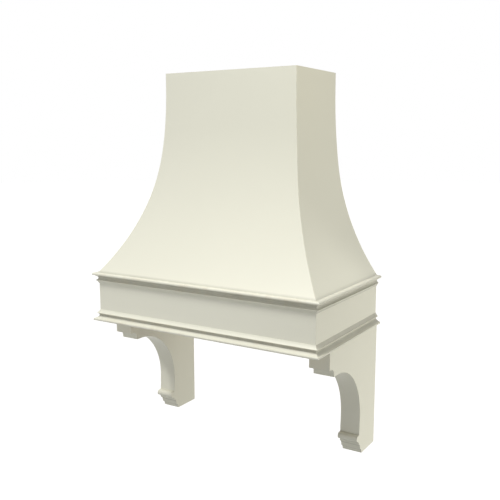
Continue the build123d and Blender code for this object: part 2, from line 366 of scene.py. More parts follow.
plyLook = {
    "early": (0.77, 0.63, 0.45, 1),
    "late": (0.67, 0.51, 0.33, 1),
    "endGrain": (0.62, 0.58, 0.52, 1),      # darkens the plies that show their cut ends
    "glue": (0.16, 0.10, 0.06, 1),
    "glueShows": 0.7,
    "glueLine": (0.03, 0.09),               # where it is darkest and where it ends, in plies from its middle
    "glueWithin": (0.97, 0.98),             # it stays off the sheet's own faces, which are at 1
    "ringWidth": 11.0 * mm,
    "waver": 6.0,
    "drift": (0.15, 0.22),
    "heart": (0.04, 0.31, 0),               # from the tree's heart to the middle of the sheet
    "thickness": 18.0 * mm,
    "plies": 13,
    "faceMargin": 0.001,                    # keeps the two faces of the sheet inside their own plies
    "roughness": 0.6,
    "endRoughness": 0.72,
    "grainDepth": 0.08 * mm,
}


def plywood(name, turn, middle):
    # turn brings the sheet's thickness to x, middle is the sheet's own middle along it
    look = plyLook
    material, tree, shader, coordinates = newMaterial(name)
    vector = mapped(tree, coordinates, turn=turn, shift=(-middle, 0, 0))
    colour, figure = bareWood(tree, mapped(tree, vector, shift=look["heart"]), look)
    split = tree.nodes.new("ShaderNodeSeparateXYZ")
    feed(tree, split.inputs[0], vector)
    half, margin = look["thickness"] / 2, look["faceMargin"]
    layer = spread(tree, split.outputs["X"], -half, half, margin, look["plies"] - margin)
    crossed = maths(tree, "MODULO", maths(tree, "FLOOR", layer), 2.0)
    colour = blend(tree, crossed, colour, blend(tree, 1.0, colour, look["endGrain"], "MULTIPLY"))
    fromLine = maths(tree, "PINGPONG", layer, 0.5)      # 0 at each glue line, half way through a ply 0.5
    glued = spread(tree, fromLine, *look["glueLine"], look["glueShows"], 0.0)
    fromMiddle = maths(tree, "ABSOLUTE", spread(tree, split.outputs["X"], -half, half, -1.0, 1.0))
    inside = spread(tree, fromMiddle, *look["glueWithin"], 1.0, 0.0)
    line = maths(tree, "MULTIPLY", glued, inside)
    feed(tree, shader["Base Color"], blend(tree, line, colour, look["glue"]))
    roughness = spread(tree, crossed, 0.0, 1.0, look["roughness"], look["endRoughness"])
    feed(tree, shader["Roughness"], roughness)
    feed(tree, shader["Normal"], bumpFrom(tree, figure["Height"], look["grainDepth"]))
    return material


zincLook = {
    "colour": (0.60, 0.61, 0.63, 1),
    "roughness": (0.26, 0.42),
    "drift": (0.012, 0.35),                 # size in metres and tone of the patches in the plating
    "scratchScale": 1500.0,
    "scratchSqueeze": 0.08,
    "depth": 0.02 * mm,
}


def zincPlate(name):
    look = zincLook
    material, tree, shader, coordinates = newMaterial(name)
    shader["Metallic"].default_value = 1.0
    tone = toneDrift(tree, coordinates, look)
    feed(tree, shader["Base Color"], blend(tree, 1.0, look["colour"], tone, "MULTIPLY"))
    drawnOut = mapped(tree, coordinates, (1, 1, look["scratchSqueeze"]))
    scratches = noiseAt(tree, drawnOut, look["scratchScale"], detail=3.0)
    feed(tree, shader["Roughness"], swing(tree, scratches, *look["roughness"]))
    feed(tree, shader["Normal"], bumpFrom(tree, scratches, look["depth"]))
    return material


# turns that bring each board's length to z, where the grain of the wood runs
lengthToZ = {"x": (0, -90, 0), "y": (90, 0, 0), "z": (0, 0, 0)}
paintAcross = satinPaint("satin_paint_across", "x")
paintOutward = satinPaint("satin_paint_outward", "y")
paintUpright = satinPaint("satin_paint_upright", "z")
bareAcross = sawnWood("bare_veneer_across", veneerLook, lengthToZ["x"], (0.21, 0.13, 0))
bareOutward = sawnWood("bare_veneer_outward", veneerLook, lengthToZ["y"], (0.17, 0.24, 0))
bareUpright = sawnWood("bare_wood_upright", pineLook, lengthToZ["z"], (0.05, 0.11, 0))
zinc = zincPlate("zinc_plate")
print("finishes:", len(bpy.data.materials), "materials,", len(bpy.data.node_groups), "shared groups")


# Shared modelling steps

def vertsIn(geometry):
    return [item for item in geometry if isinstance(item, bmesh.types.BMVert)]


def arcThrough(start, via, end):
    # centre and signed turn of the arc that runs from start through via to end
    a, b, c = (Vector((*point, 0)) for point in (start, via, end))
    ab, bc = b - a, c - b
    across = Vector((-ab.y, ab.x, 0)), Vector((-bc.y, bc.x, 0))
    midAb, midBc = (a + b) / 2, (b + c) / 2
    gap = midBc - midAb
    side = across[0].cross(across[1]).z
    centre = midAb + across[0] * (gap.cross(across[1]).z / side)
    turn = (a - centre).xy.angle_signed((b - centre).xy) + (b - centre).xy.angle_signed((c - centre).xy)
    return centre, -turn


def drawOutline(bm, start, strokes, arcSteps):
    # a closed chain of edges in the plane z = 0
    # a stroke is one point for a line, or a point on the way and the end for an arc
    first = bmesh.ops.create_vert(bm, co=(*start, 0))["vert"][0]
    last = first
    for stroke in strokes:
        if len(stroke) == 1:
            last = bmesh.ops.extrude_vert_indiv(bm, verts=[last])["verts"][0]
            last.co = (*stroke[0], 0)
        else:
            centre, turn = arcThrough(last.co.xy, *stroke)
            spun = bmesh.ops.spin(bm, geom=[last], cent=centre, axis=(0, 0, 1), angle=turn, steps=arcSteps)
            last = vertsIn(spun["geom_last"])[0]
    bmesh.ops.remove_doubles(bm, verts=bm.verts, dist=1e-7)


def extrudeLoop(bm, loopEdges):
    # the next ring of a sweep, still in the same place as the last one
    grown = bmesh.ops.extrude_edge_only(bm, edges=loopEdges)["geom"]
    verts = vertsIn(grown)
    kept = set(verts)
    edges = [item for item in grown if isinstance(item, bmesh.types.BMEdge) and kept.issuperset(item.verts)]
    return verts, edges


def closeHoles(bm):
    bmesh.ops.holes_fill(bm, edges=[edge for edge in bm.edges if edge.is_boundary], sides=0)


def cutAway(bm, point, normal):
    # takes off what lies past a plane and closes the cut
    everything = bm.verts[:] + bm.edges[:] + bm.faces[:]
    bmesh.ops.bisect_plane(
        bm, geom=everything, dist=1e-6, plane_co=point, plane_no=normal, clear_outer=True)
    closeHoles(bm)


def runRoundHood(bm, frontPlace):
    # carries an outline that stands at the wall on the left round both corners to the wall on the right
    # frontPlace gives the y of a point of the outline where it meets the front
    verts, edges = extrudeLoop(bm, bm.edges[:])
    for vert in verts:
        vert.co.y = frontPlace(vert.co)
    verts, edges = extrudeLoop(bm, edges)
    for vert in verts:
        vert.co.x = -vert.co.x
    verts, edges = extrudeLoop(bm, edges)
    for vert in verts:
        vert.co.y = 0
    closeHoles(bm)
    bmesh.ops.recalc_face_normals(bm, faces=bm.faces)


def joinTo(bm, part):
    # adds a finished mesh to another one
    mesh = bpy.data.meshes.new("joined_part")
    part.to_mesh(mesh)
    part.free()
    bm.from_mesh(mesh)
    bpy.data.meshes.remove(mesh)


def bevelEdges(bm, edges, width, segments):
    # rounds edges, and marks the rounding as an arris for the paint to wear on
    arris = bm.loops.layers.float.get("arris") or bm.loops.layers.float.new("arris")
    rounded = bmesh.ops.bevel(
        bm, geom=edges, offset=width, offset_type="OFFSET", segments=segments, profile=0.5,
        affect="EDGES", clamp_overlap=True, material=-1,
    )
    for face in rounded["faces"]:
        for loop in face.loops:
            loop[arris] = 1.0


def markPaintedShade(bm, shareAt):
    # how much painted shade each corner of each face gets; shareAt is given the face and the point
    shadeShare = bm.loops.layers.float.get("shadeShare") or bm.loops.layers.float.new("shadeShare")
    for face in bm.faces:
        for loop in face.loops:
            loop[shadeShare] = shareAt(face, loop.vert.co)


def makeObject(bm, name, materials, smoothAngle):
    mesh = bpy.data.meshes.new(name + "_mesh")
    bm.to_mesh(mesh)
    bm.free()
    for material in materials:
        mesh.materials.append(material)
    mesh.polygons.foreach_set("use_smooth", [True] * len(mesh.polygons))
    mesh.set_sharp_from_angle(angle=math.radians(smoothAngle))
    piece = bpy.data.objects.new(name, mesh)
    bpy.context.scene.collection.objects.link(piece)
    return piece


def finishWood(bm, name, materials, bareTowards=None):
    # the piece takes the place of the CAD node of that name; faces that look bareTowards stay unpainted
    bmesh.ops.recalc_face_normals(bm, faces=bm.faces)
    for face in bm.faces:
        if bareTowards and face.normal.dot(Vector(bareTowards)) > 0.3:
            face.material_index = 1
    piece = makeObject(bm, name + "_finished", materials, smoothAngle=40)
    piece.modifiers.new("even shading", "WEIGHTED_NORMAL").keep_sharp = True
    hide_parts(name)
    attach(piece, "root")


def finishMetal(bm, name):
    bmesh.ops.recalc_face_normals(bm, faces=bm.faces)
    piece = makeObject(bm, name, [zinc], smoothAngle=35)
    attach(piece, "root")
    return piece


# The band's frieze boards and mouldings run round three sides and meet in mitres

friezeLow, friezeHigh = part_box("frieze_front")
bandHalf = friezeHigh.x
bandDepth = -friezeLow.y
bandTop = friezeHigh.z
bandBottom = friezeLow.z
boardThickness = friezeHigh.y - friezeLow.y

friezeLook = {"cornerRound": 0.5 * mm, "roundSegments": 2}

mouldingLook = {
    "height": 42.0,                 # millimetres, out from the frieze and down from the moulding's top
    "noseStart": (13.6, 0.0),
    "noseTip": (19.3, -5.7),
    "noseFoot": (18.4, -8.7),
    "coveMiddle": (7.1, -14.2),
    "groove": (2.5, -18.6),
    "scoopMiddle": (4.2, -25.0),
    "lip": (9.4, -28.6),
    "lipFoot": (9.4, -30.4),
    "step": (8.2, -30.4),
    "cavettoMiddle": (3.5, -36.4),
    "cavettoFoot": (0.6, -42.0),
    # painted shade: its share in the hollows, how fast it thins out there, and the furthest out that it
    # lies, for each moulding and for the sides, which stand in more shade
    "shade": {"upper": (0.5, 2.5, 19.0), "lower": (0.9, 1.4, 10.0), "sides": (0.62, 2.5, 19.0)},
    "sideShade": 0.3,                # painted shade over the rest of the sides' mouldings, which are lit less
    "arcSteps": 14,
    "cornerRound": 0.4 * mm,
    "roundSegments": 2,
}


def friezeOutline():
    height, back = (bandTop - bandBottom) / mm, -boardThickness / mm
    bm = bmesh.new()
    drawOutline(bm, (0, 0), [((0, -height),), ((back, -height),), ((back, 0),), ((0, 0),)], 1)
    return bm


def mouldingOutline():
    look = mouldingLook
    strokes = [
        (look["noseStart"],),
        (look["noseTip"], look["noseFoot"]),
        (look["coveMiddle"], look["groove"]),
        (look["scoopMiddle"], look["lip"]),
        (look["lipFoot"],),
        (look["step"],),
        (look["cavettoMiddle"], look["cavettoFoot"]),
        ((0, -look["height"]),),
        ((0, 0),),
    ]
    bm = bmesh.new()
    drawOutline(bm, (0, 0), strokes, look["arcSteps"])
    return bm


def mouldingShade(level, side, top, flip):
    look = mouldingLook
    share, thinning, furthest = look["shade"]["sides" if side else level]

    # painted shade in the cove and, on the sides, in the cavetto, thinning out away from the frieze; the
    # sides get a little all over
    def shareAt(face, co):
        down = (face.calc_center_median().z - top) / mm * flip
        out = (abs(co.x) - bandHalf if side else -co.y - bandDepth) / mm
        inCove = look["lip"][1] < down < look["noseFoot"][1]
        inCavetto = side and down < look["lipFoot"][1]
        deep = share * min(1.0, thinning * (1 - out / furthest)) if inCove or inCavetto else 0.0
        return max(deep, look["sideShade"] if side else 0.0)

    return shareAt


def bandRound(bm, topHeight, flip, look):
    # flip is -1 where the outline is turned over
    stand = Matrix(((-mm, 0, 0, -bandHalf), (0, 0, mm, 0), (0, flip * mm, 0, topHeight), (0, 0, 0, 1)))
    bmesh.ops.transform(bm, matrix=stand, verts=bm.verts)
    runRoundHood(bm, lambda co: -bandDepth + bandHalf + co.x)
    corner = [edge for edge in bm.edges if isCornerEdge(edge)]
    bevelEdges(bm, corner, look["cornerRound"], look["roundSegments"])
    return bm


def isCornerEdge(edge):
    # an edge in one of the two mitre planes, on the outside of the frieze's own back
    def inMitre(co):
        return co.y < -0.1 and abs((abs(co.x) - bandHalf) - (-co.y - bandDepth)) < 1e-6

    outside = max(-vert.co.y - bandDepth for vert in edge.verts) > -0.5 * mm
    visible = len(edge.link_faces) == 2 and edge.calc_face_angle(0) > math.radians(2)
    return outside and visible and all(inMitre(vert.co) for vert in edge.verts)


def cutFromRound(roundMesh, side):
    # side is 0 for the front length, 1 for the right one and -1 for the left one
    bm = roundMesh.copy()
    for hand in (1, -1):
        corner = (hand * bandHalf, -bandDepth, 0)
        outOfFront = Vector((hand, 1, 0)).normalized()
        if side == 0:
            cutAway(bm, corner, outOfFront)
        elif side == hand:
            cutAway(bm, corner, -outOfFront)
    return bm


# by side, as above: the way to the hood's inside, the paint along the boards and the bare wood behind it
inward = {0: (0, 1, 0), 1: (-1, 0, 0), -1: (1, 0, 0)}
paintOn = {0: paintAcross, 1: paintOutward, -1: paintOutward}
bareOn = {0: bareAcross, 1: bareOutward, -1: bareOutward}


def makeFriezes():
    roundMesh = bandRound(friezeOutline(), bandTop, 1, friezeLook)
    for side, name in {0: "frieze_front", 1: "right_frieze", -1: "left_frieze"}.items():
        finishWood(cutFromRound(roundMesh, side), name, [paintOn[side], bareOn[side]], inward[side])
    roundMesh.free()


def makeMouldings(level, top, flip):
    roundMesh = bandRound(mouldingOutline(), top, flip, mouldingLook)
    lengths = level + "_moulding"
    names = {0: lengths + "_front", 1: "right_" + lengths, -1: "left_" + lengths}
    for side, name in names.items():
        bm = cutFromRound(roundMesh, side)
        markPaintedShade(bm, mouldingShade(level, side, top, flip))
        finishWood(bm, name, [paintOn[side]])
    roundMesh.free()


makeFriezes()
makeMouldings("upper", bandTop, 1)
makeMouldings("lower", bandBottom, -1)
print("band: frieze boards and mouldings")


# Curved panels

panelLow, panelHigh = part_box("front_panel")
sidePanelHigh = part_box("right_side_panel")[1]

flareLook = {
    "top": panelHigh.z,
    "start": 780.0 * mm,            # where the plumb neck begins to flare
    "thickness": 12.0 * mm,
    "neckHalf": 276.0 * mm,
    "neckDepth": 306.8 * mm,
    "sideEasing": (2250.0 * mm, 7.0),       # radius and degrees of the first gentle bend
    "frontEasing": (2500.0 * mm, 3.5),
    "levels": 72,
    "footShade": (0.64, 0.38),               # painted shade along the foot, where the panels meet the moulding, on the front and on the sides
    "hipRound": 1.2 * mm,
    "roundSegments": 4,
}


def flareReach(neck, foot, easing):
    # a function of height and inset: how far one face stands out, from a plumb line and two tangent arcs
    easingRadius, easingTurn = easing[0], math.radians(easing[1])
    start = flareLook["start"]
    easingFoot = start - easingRadius * math.sin(easingTurn)
    runOut = foot - neck - easingRadius * (1 - math.cos(easingTurn))
    drop = easingFoot - bandTop
    footTurn = 2 * math.atan2(runOut, drop) - easingTurn
    sweepRadius = drop / (math.sin(footTurn) - math.sin(easingTurn))
    sweepOut = neck + easingRadius + (sweepRadius - easingRadius) * math.cos(easingTurn)
    sweepUp = start - (easingRadius - sweepRadius) * math.sin(easingTurn)

    def reach(height, inset):
        if height >= start:
            return neck - inset
        if height >= start - (easingRadius + inset) * math.sin(easingTurn):
            return neck + easingRadius - math.sqrt((easingRadius + inset) ** 2 - (start - height) ** 2)
        return sweepOut - math.sqrt((sweepRadius + inset) ** 2 - (sweepUp - height) ** 2)

    return reach


sideReach = flareReach(flareLook["neckHalf"], sidePanelHigh.x, flareLook["sideEasing"])
frontReach = flareReach(flareLook["neckDepth"], -panelLow.y, flareLook["frontEasing"])


def panelShell():
    # the three panels as one shell, from the wall on the left round to the wall on the right
    look = flareLook
    bm = bmesh.new()
    fall, levels = bandTop - look["start"], look["levels"]
    heights = [look["top"]] + [look["start"] + fall * step / levels for step in range(levels + 1)]
    first = bmesh.ops.create_vert(bm, co=(-sideReach(heights[0], 0), 0, heights[0]))["vert"][0]
    last = first
    for height in heights[1:]:
        last = bmesh.ops.extrude_vert_indiv(bm, verts=[last])["verts"][0]
        last.co = (-sideReach(height, 0), 0, height)
    for height in reversed(heights):
        last = bmesh.ops.extrude_vert_indiv(bm, verts=[last])["verts"][0]
        last.co = (-sideReach(height, look["thickness"]), 0, height)
    bm.edges.new((last, first))

    def frontPlace(co):
        outer = abs(-co.x - sideReach(co.z, 0)) < 1e-6
        return -frontReach(co.z, 0 if outer else look["thickness"])

    runRoundHood(bm, frontPlace)
    hips = [edge for edge in bm.edges if all(isOuterHip(vert.co) for vert in edge.verts)]
    hips = [edge for edge in hips if abs(edge.verts[0].co.z - edge.verts[1].co.z) > mm]
    bevelEdges(bm, hips, look["hipRound"], look["roundSegments"])
    return bm


def isOuterHip(co):
    return abs(abs(co.x) - sideReach(co.z, 0)) < 1e-6 and abs(-co.y - frontReach(co.z, 0)) < 1e-6


def panelSide(co):
    # which panel a point of the shell belongs to: 0 for the front, 1 and -1 for the sides
    fromSide = sideReach(co.z, 0) - abs(co.x)
    fromFront = frontReach(co.z, 0) + co.y
    if fromFront <= fromSide:
        return 0
    return 1 if co.x > 0 else -1


def panelPiece(shell, side):
    bm = shell.copy()
    others = [face for face in bm.faces if panelSide(face.calc_center_median()) != side]
    bmesh.ops.delete(bm, geom=others, context="FACES")
    for hand in (1, -1):
        if side in (0, hand):
            closeMitre(bm, hand)
    # painted shade along the panel's foot, in the corner over the moulding
    share = flareLook["footShade"][1 if side else 0]
    markPaintedShade(bm, lambda face, co: share if co.z < bandTop + mm else 0.0)
    return bm


def closeMitre(bm, hand):
    # a skin between the outer and inner edges of one mitre
    rim = [edge for edge in bm.edges if edge.is_boundary]
    rim = [edge for edge in rim if all(vert.co.x * hand > 0 for vert in edge.verts)]

    def isDeep(vert):
        return sideReach(vert.co.z, 0) - abs(vert.co.x) >= flareLook["thickness"] / 3

    sameDepth = [edge for edge in rim if isDeep(edge.verts[0]) == isDeep(edge.verts[1])]
    bmesh.ops.bridge_loops(bm, edges=sameDepth)


def makePanels():
    shell = panelShell()
    for side, name in {0: "front_panel", 1: "right_side_panel", -1: "left_side_panel"}.items():
        finishWood(panelPiece(shell, side), name, [paintUpright, bareOn[side]], inward[side])
    shell.free()
    print("flare: three curved panels")


makePanels()


# Brackets

bracketLook = {
    "noseDrop": 68.2,               # millimetres, out from the wall and down from the bracket's top
    "depth": 410.0,
    "coveTop": (393.0, -68.2),
    "coveMiddle": (380.3, -76.4),
    "coveFoot": (375.0, -94.7),
    "tip": -98.2,
    "shaft": 142.4,
    "archWidth": 204.6,
    "archDrop": 217.5,
    "shaftFoot": (145.0, -386.7),
    "beadTop": (154.5, -387.9),
    "beadMiddle": (167.0, -399.2),
    "beadFoot": (157.0, -410.4),
    "fillet": (147.0, -416.8),
    "upperCove": ((145.8, -425.3), (138.0, -429.0), (134.3, -437.0)),
    "waist": (131.0, -448.5),
    "lowerCove": ((124.2, -451.0), (121.3, -457.0)),
    "toe": 118.3,
    "height": 466.7,
    "arcSteps": 14,
    "arris": 1.0 * mm,
    "arrisSegments": 2,
    "seat": (20.0, 56.0, 2.0),              # recess for the keyhole plate: width, height and depth
    "pocket": (14.25, 26.25, 14.0),         # deeper hollow behind the keyhole, for the wall screw's head
    "pocketRise": 6.0,
    "plateDrop": 380.0,
    "ledgeShade": (0.6, 2.0),                # painted shade: its share in the corner over the bead, and how far it reaches
    # painted shade on the undersides of the foot's steps
    "stepShade": 0.45,
}


def eighthTurn(centre, radius, startDegrees):
    # middle and end of an eighth of a circle, anticlockwise from startDegrees
    turns = [math.radians(startDegrees + degrees) for degrees in (22.5, 45)]
    return [(centre[0] + radius * math.cos(turn), centre[1] + radius * math.sin(turn)) for turn in turns]


def bracketOutline():
    look = bracketLook
    archTop = (look["shaft"] + look["archWidth"], look["tip"])
    archFoot = (look["shaft"], look["tip"] - look["archDrop"])
    # the arch is two tangent eighths of a circle, the upper one tighter
    middleRadius = (look["archWidth"] + look["archDrop"]) / 2
    difference = (look["archDrop"] - look["archWidth"]) / (2 * (math.sqrt(2) - 1))
    upperRadius, lowerRadius = middleRadius - difference, middleRadius + difference
    strokes = [
        ((look["depth"], 0),),
        ((look["depth"], -look["noseDrop"]),),
        (look["coveTop"],),
        (look["coveMiddle"], look["coveFoot"]),
        ((look["coveFoot"][0], look["tip"]),),
        (archTop,),
        eighthTurn((archTop[0], archTop[1] - upperRadius), upperRadius, 90),
        eighthTurn((archFoot[0] + lowerRadius, archFoot[1]), lowerRadius, 135),
        (look["shaftFoot"],),
        (look["beadTop"],),
        (look["beadMiddle"], look["beadFoot"]),
        (look["fillet"],),
        (look["upperCove"][0],),
        (look["upperCove"][1], look["upperCove"][2]),
        (look["waist"],),
        (look["lowerCove"][0], look["lowerCove"][1]),
        ((look["toe"], -look["height"]),),
        ((0, -look["height"]),),
        ((0, 0),),
    ]
    bm = bmesh.new()
    drawOutline(bm, (0, 0), strokes, look["arcSteps"])
    return bm


def sinkRecess(bm, centre, size, fromDepth):
    # a square recess in the face that looks at the wall; centre is across and height, all in metres
    (across, height), (width, tall, depth) = centre, size

    def wallFaces():
        return [
            face for face in bm.faces
            if face.normal.y > 0.9 and abs(face.calc_center_median().y + fromDepth) < 1e-5
        ]

    sides = [((across + hand * width / 2, 0, 0), (1, 0, 0)) for hand in (1, -1)]
    sides += [((0, 0, height + hand * tall / 2), (0, 0, 1)) for hand in (1, -1)]
    for point, normal in sides:
        faces = wallFaces()
        around = dict.fromkeys(item for face in faces for item in (*face.verts, *face.edges))
        bmesh.ops.bisect_plane(bm, geom=faces + list(around), dist=1e-7, plane_co=point, plane_no=normal)
    for face in wallFaces():
        middle = face.calc_center_median()
        if abs(middle.x - across) < width / 2 and abs(middle.z - height) < tall / 2:
            sunk = bmesh.ops.extrude_discrete_faces(bm, faces=[face])["faces"][0]
            bmesh.ops.translate(bm, vec=(0, -(depth - fromDepth), 0), verts=sunk.verts)
            return


def bracketShade(topHeight):
    # painted shade in the corner over the bead, and on the faces under the steps of the foot
    look = bracketLook
    (ledgeShare, reach), (out, drop) = look["ledgeShade"], look["shaftFoot"]

    def shareAt(face, co):
        middle = (face.calc_center_median().z - topHeight) / mm
        onLedge = face.normal.z > 0.5 and middle < drop + reach
        if onLedge and math.hypot(-co.y / mm - out, (co.z - topHeight) / mm - drop) < reach:
            return ledgeShare
        underStep = middle < look["beadFoot"][1] and -0.95 < face.normal.z < -0.3
        return look["stepShade"] if underStep else 0.0

    return shareAt


def makeBrackets():
    look = bracketLook
    for name in ("right_bracket", "left_bracket"):
        low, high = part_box(name)
        bm = bracketOutline()
        stand = Matrix(((0, 0, mm, low.x), (-mm, 0, 0, 0), (0, mm, 0, high.z), (0, 0, 0, 1)))
        bmesh.ops.transform(bm, matrix=stand, verts=bm.verts)
        side = bmesh.ops.contextual_create(bm, geom=bm.edges[:])["faces"]
        grown = bmesh.ops.extrude_face_region(bm, geom=side)["geom"]
        bmesh.ops.translate(bm, vec=(high.x - low.x, 0, 0), verts=vertsIn(grown))
        bmesh.ops.recalc_face_normals(bm, faces=bm.faces)
        arrises = [edge for edge in bm.edges if abs(edge.verts[0].co.x - edge.verts[1].co.x) < 1e-6]
        bevelEdges(bm, arrises, look["arris"], look["arrisSegments"])
        seat = [length * mm for length in look["seat"]]
        pocket = [length * mm for length in look["pocket"]]
        across, height = (low.x + high.x) / 2, high.z - look["plateDrop"] * mm
        sinkRecess(bm, (across, height), seat, 0)
        sinkRecess(bm, (across, height + look["pocketRise"] * mm), pocket, seat[2])
        for face in bm.faces:                   # the recess is left bare
            middle = face.calc_center_median()
            inDepth = -2 * pocket[2] < middle.y < -0.2 * mm
            fromCentre = abs(middle.x - across), abs(middle.z - height)
            if inDepth and fromCentre[0] < seat[0] / 2 + 1e-5 and fromCentre[1] < seat[1] / 2 + 1e-5:
                face.material_index = 1
        markPaintedShade(bm, bracketShade(high.z))
        finishWood(bm, name, [paintUpright, bareUpright])


makeBrackets()
print("brackets")


# The frame inside stays as it came from the CAD, with eased edges and bare wood or zinc plate

def hipTurn(hand):
    # turn about z that brings the thickness of a hip rib to x
    run = sidePanelHigh.x - flareLook["neckHalf"]
    rise = -panelLow.y - flareLook["neckDepth"]
    thickness = Vector((hand * rise, run)).normalized()
    middle = thickness.dot(Vector((hand * flareLook["neckHalf"], -flareLook["neckDepth"])))
    return (0, 0, -math.degrees(math.atan2(thickness.y, thickness.x))), middle


ribLines = {"front": 140 * mm, "side": -150 * mm, "back": -9 * mm}      # x of a front rib, y of the others
sheetParts = {      # ribs and stiles: the turn that brings the sheet's thickness to x, and its middle there
    "front_rib_left": ((0, 0, 0), -ribLines["front"]),
    "front_rib_centre": ((0, 0, 0), 0.0),
    "front_rib_right": ((0, 0, 0), ribLines["front"]),
    "left_side_rib": ((0, 0, -90), ribLines["side"]),
    "right_side_rib": ((0, 0, -90), ribLines["side"]),
    "left_back_stile": ((0, 0, -90), ribLines["back"]),
    "right_back_stile": ((0, 0, -90), ribLines["back"]),
    "left_hip_rib": hipTurn(-1),
    "right_hip_rib": hipTurn(1),
}
boardParts = {      # rails and blocks, by the way their grain runs
    "x": ("top_rail_front", "upper_wall_rail", "sill_rail_front", "sill_rail_back",
          "bottom_rail_front", "bottom_rail_back", "lower_wall_rail"),
    "y": ("left_top_rail", "right_top_rail", "left_sill_rail", "right_sill_rail",
          "left_bottom_rail", "right_bottom_rail"),
    "z": ("corner_blocks",),
}
metalParts = ("bracket_studs", "bracket_washers", "bracket_nuts")
easedEdge = {
    "wood": 0.8 * mm,
    "metal": 0.25 * mm,
    "segments": 2,
    "weld": 0.005 * mm,
    "flatWithin": 0.3,              # degrees between the triangles of one face
    "sharpFrom": 35,
}
# where the tree's heart lies, in metres across, deep and along: the first board's place, the step from
# one board to the next, and after how many boards it starts again
boardHearts = ((0.06, 0.031, 5), (-0.09, 0.057, 4), (0.0, 0.7, 14))


def dress(name, material, width):
    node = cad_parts[name]
    node.data.materials.clear()
    node.data.materials.append(material)
    node.modifiers.new("joined corners", "WELD").merge_threshold = easedEdge["weld"]
    flat = node.modifiers.new("whole faces", "DECIMATE")
    flat.decimate_type = "DISSOLVE"
    flat.angle_limit = math.radians(easedEdge["flatWithin"])
    eased = node.modifiers.new("eased edges", "BEVEL")
    eased.width = width
    eased.segments = easedEdge["segments"]
    eased.limit_method = "ANGLE"
    eased.angle_limit = math.radians(easedEdge["sharpFrom"])
    eased.face_strength_mode = "FSTR_ALL"
    shading = node.modifiers.new("even shading", "WEIGHTED_NORMAL")
    shading.use_face_influence = True


def dressFrame():
    for name, (turn, middle) in sheetParts.items():
        dress(name, plywood("plywood_" + name, turn, middle), easedEdge["wood"])
    boards = [(way, name) for way, names in boardParts.items() for name in names]
    for count, (way, name) in enumerate(boards):
        shift = [first + step * (count % places) for first, step, places in boardHearts]
        dress(name, sawnWood("pine_" + name, pineLook, lengthToZ[way], shift), easedEdge["wood"])
    for name in metalParts:
        dress(name, zinc, easedEdge["metal"])
    print("frame inside:", len(sheetParts) + len(boards) + len(metalParts), "nodes dressed")


dressFrame()


# Keyhole plates in the brackets' backs, and the screws a joiner would see

plateLook = {
    "keyhole": 4.75 * mm,                   # radius of the entry hole
    "slot": 2.6 * mm,                       # radius of the slot's upper end, its half width
    "travel": 12.0 * mm,
    "screwSpread": 21.0 * mm,               # screws above and below the entry hole
    "screwHole": 1.6 * mm,
    "countersink": 3.2 * mm,
    "holeSegments": 20,
    "arcSteps": 10,
}


def keyholeLoop(bm):
    # round entry hole and a narrower slot that rises from it, in the plane z = 0
    look = plateLook
    meet = math.sqrt(look["keyhole"] ** 2 - look["slot"] ** 2)
    outline = bmesh.new()
    drawOutline(outline, (-look["slot"], meet), [
        ((0, -look["keyhole"]), (look["slot"], meet)),
        ((look["slot"], look["travel"]),),
        ((0, look["travel"] + look["slot"]), (-look["slot"], look["travel"])),
        ((-look["slot"], meet),),
    ], look["arcSteps"])
    joinTo(bm, outline)


def addPlate(bm, across, low, high):
    # one plate drawn flat round its entry hole, then thickened and stood against the wall plane
    look = plateLook
    plate = bmesh.new()
    half, tall = bracketLook["seat"][0] * mm / 2, (high.z - low.z) / 2
    corners = [(half, tall), (-half, tall), (-half, -tall), (half, -tall)]
    drawOutline(plate, corners[-1], [(corner,) for corner in corners], 1)
    keyholeLoop(plate)
    for rise in (-look["screwSpread"], look["screwSpread"]):
        hole = bmesh.ops.create_circle(plate, segments=look["holeSegments"], radius=look["screwHole"])
        bmesh.ops.translate(plate, vec=(0, rise, 0), verts=hole["verts"])
    bmesh.ops.triangle_fill(plate, use_beauty=True, edges=plate.edges[:], normal=(0, 0, 1))
    front = vertsIn(bmesh.ops.extrude_face_region(plate, geom=plate.faces[:])["geom"])
    bmesh.ops.translate(plate, vec=(0, 0, high.y - low.y), verts=front)
    wider = look["countersink"] / look["screwHole"]
    for rise in (-look["screwSpread"], look["screwSpread"]):
        rim = [vert for vert in front if (vert.co.xy - Vector((0, rise))).length < look["screwHole"] * 1.1]
        bmesh.ops.scale(plate, vec=(wider, wider, 1), space=Matrix.Translation((0, -rise, 0)), verts=rim)
    middle = (low.z + high.z) / 2
    stand = Matrix(((-1, 0, 0, across), (0, 0, 1, low.y), (0, 1, 0, middle), (0, 0, 0, 1)))
    bmesh.ops.transform(plate, matrix=stand, verts=plate.verts)
    joinTo(bm, plate)


screwLook = {
    "plate": (3.0 * mm, 1.5 * mm, 1.4 * mm, 16 * mm),       # radii of head and shank, depth of cone, length
    "rib": (4.5 * mm, 2.2 * mm, 2.6 * mm, 50 * mm),
    "sunk": 0.1 * mm,               # how far a head lies below its surface
    "recess": (0.588, 0.182, 0.42),         # arm, waist and depth of the cross, in radii of the head
    "recessTaper": 0.8,
    "segments": 24,
}


